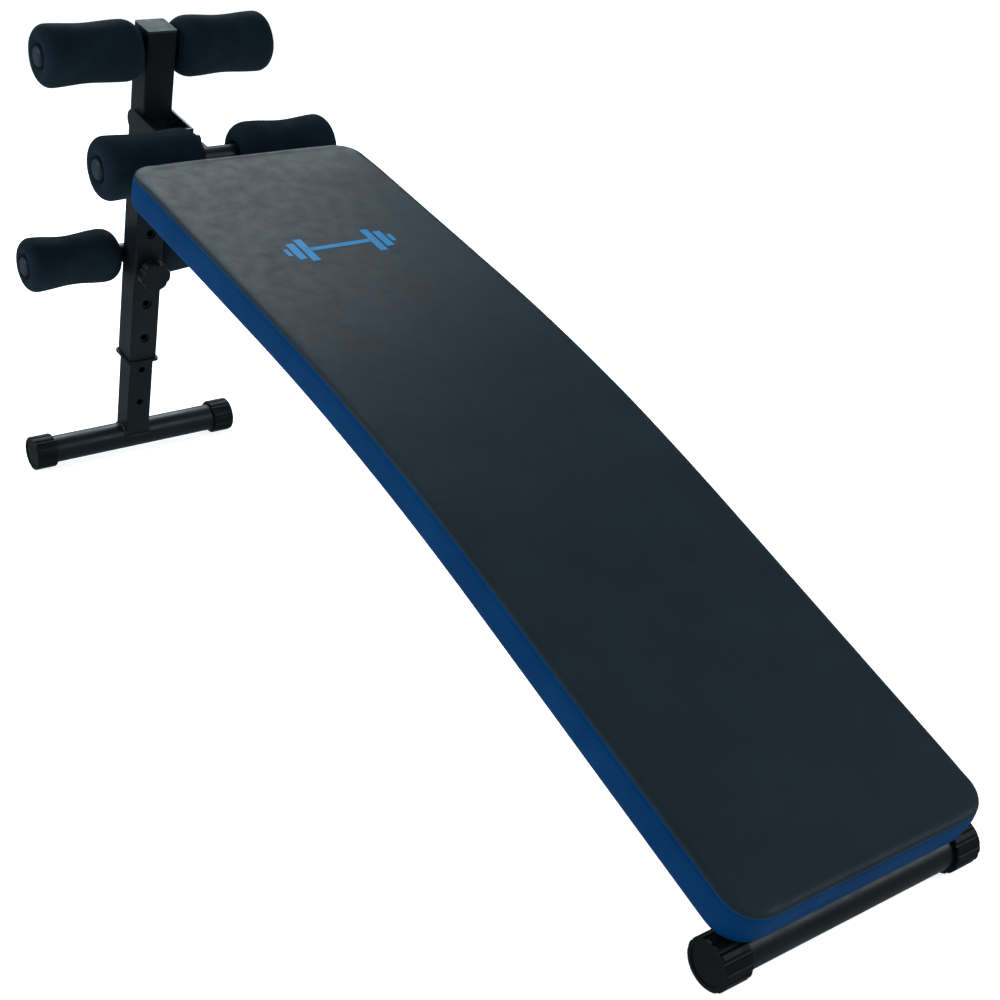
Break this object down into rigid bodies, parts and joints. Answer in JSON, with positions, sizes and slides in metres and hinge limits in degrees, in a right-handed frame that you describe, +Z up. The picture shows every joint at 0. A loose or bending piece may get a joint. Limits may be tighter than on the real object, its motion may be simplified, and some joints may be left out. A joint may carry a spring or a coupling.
{
  "type": "decline sit up bench",
  "caption": "Decline bench with a long curved pad on a square tube frame, a folding post with a telescoping leg, and foam rollers on cross bars.",
  "frame": {"origin": "on the floor under the middle of the bench, on its centre plane", "axes": "+X along the bench to the low end of the pad, +Y to its right-hand side, +Z up"},
  "size_m": [1.4341, 0.3132, 0.6229],
  "materials": {
    "black_paint": "satin",
    "cap_plastic": "matte",
    "bar_plug_plastic": "satin",
    "post_plug_plastic": "satin",
    "knob_plastic": "satin",
    "guide_plastic": "matte",
    "zinc_steel": "satin",
    "board_wood": "matte",
    "foam_core": "matte",
    "blue_leatherette": "satin",
    "black_leatherette": "satin",
    "roller_foam": "matte"
  },
  "bodies": {
    "bench": {"fork_cheek_left": "black_paint", "fork_cheek_right": "black_paint", "fork_end_plate": "black_paint", "fork_stop_plate": "black_paint", "lock_barrel": "black_paint", "low_foot_cap_left": "cap_plastic", "low_foot_cap_right": "cap_plastic", "low_foot_tube": "black_paint", "main_frame_tube": "black_paint", "middle_bar": "black_paint", "middle_bar_plugs": "bar_plug_plastic", "pad_board": "board_wood", "pad_foam_core": "foam_core", "pad_plate_lower": "black_paint", "pad_plate_middle": "black_paint", "pad_plate_upper": "black_paint", "pad_screws": "zinc_steel", "pad_side_band": "blue_leatherette", "pad_tee_nuts": "zinc_steel", "pad_top_panel": "black_leatherette", "pivot_bolt": "zinc_steel", "pivot_nut": "zinc_steel", "pivot_spacers": "guide_plastic"},
    "post": {"knob_boss": "black_paint", "lower_bar": "black_paint", "lower_bar_plugs": "bar_plug_plastic", "post_pivot_bush": "zinc_steel", "post_sleeve": "guide_plastic", "post_top_plug": "post_plug_plastic", "post_tube": "black_paint", "top_bar": "black_paint", "top_bar_plugs": "bar_plug_plastic"},
    "leg": {"leg_foot_cap_left": "cap_plastic", "leg_foot_cap_right": "cap_plastic", "leg_foot_tube": "black_paint", "leg_top_guide": "guide_plastic", "leg_tube": "black_paint"},
    "height_pin_group": {"height_pin": "zinc_steel", "height_knob": "knob_plastic"},
    "lock_pin_group": {"lock_pin": "zinc_steel", "lock_knob": "knob_plastic"},
    "lower_roller_left": {"lower_roller_left": "roller_foam"},
    "lower_roller_right": {"lower_roller_right": "roller_foam"},
    "middle_roller_left": {"middle_roller_left": "roller_foam"},
    "middle_roller_right": {"middle_roller_right": "roller_foam"},
    "top_roller_left": {"top_roller_left": "roller_foam"},
    "top_roller_right": {"top_roller_right": "roller_foam"}
  },
  "joints": [
    {"name": "post_fold", "type": "hinge", "parent": "bench", "child": "post", "pos_m": [-0.57965, 0, 0.43324], "axis": [0, -1, 0], "range_deg": [0, 84]},
    {"name": "leg_height", "type": "slide", "parent": "post", "child": "leg", "axis": [0.2639, 0, 0.9646], "range_m": [-0.0535, 0.0535]},
    {"name": "height_pin_slide", "type": "slide", "parent": "post", "child": "height_pin_group", "axis": [-0.9646, 0, 0.2639], "range_m": [0, 0.006]},
    {"name": "lock_pin_slide", "type": "slide", "parent": "bench", "child": "lock_pin_group", "axis": [0, -1, 0], "range_m": [0, 0.008]},
    {"name": "top_roller_left_spin", "type": "hinge", "parent": "post", "child": "top_roller_left", "pos_m": [-0.53831, 0, 0.58438], "axis": [0, 1, 0], "continuous": true},
    {"name": "top_roller_right_spin", "type": "hinge", "parent": "post", "child": "top_roller_right", "pos_m": [-0.53831, 0, 0.58438], "axis": [0, 1, 0], "continuous": true},
    {"name": "middle_roller_left_spin", "type": "hinge", "parent": "bench", "child": "middle_roller_left", "pos_m": [-0.38774, 0, 0.4736], "axis": [0, 1, 0], "continuous": true},
    {"name": "middle_roller_right_spin", "type": "hinge", "parent": "bench", "child": "middle_roller_right", "pos_m": [-0.38774, 0, 0.4736], "axis": [0, 1, 0], "continuous": true},
    {"name": "lower_roller_left_spin", "type": "hinge", "parent": "post", "child": "lower_roller_left", "pos_m": [-0.64959, 0, 0.30152], "axis": [0, 1, 0], "continuous": true},
    {"name": "lower_roller_right_spin", "type": "hinge", "parent": "post", "child": "lower_roller_right", "pos_m": [-0.64959, 0, 0.30152], "axis": [0, 1, 0], "continuous": true}
  ]
}
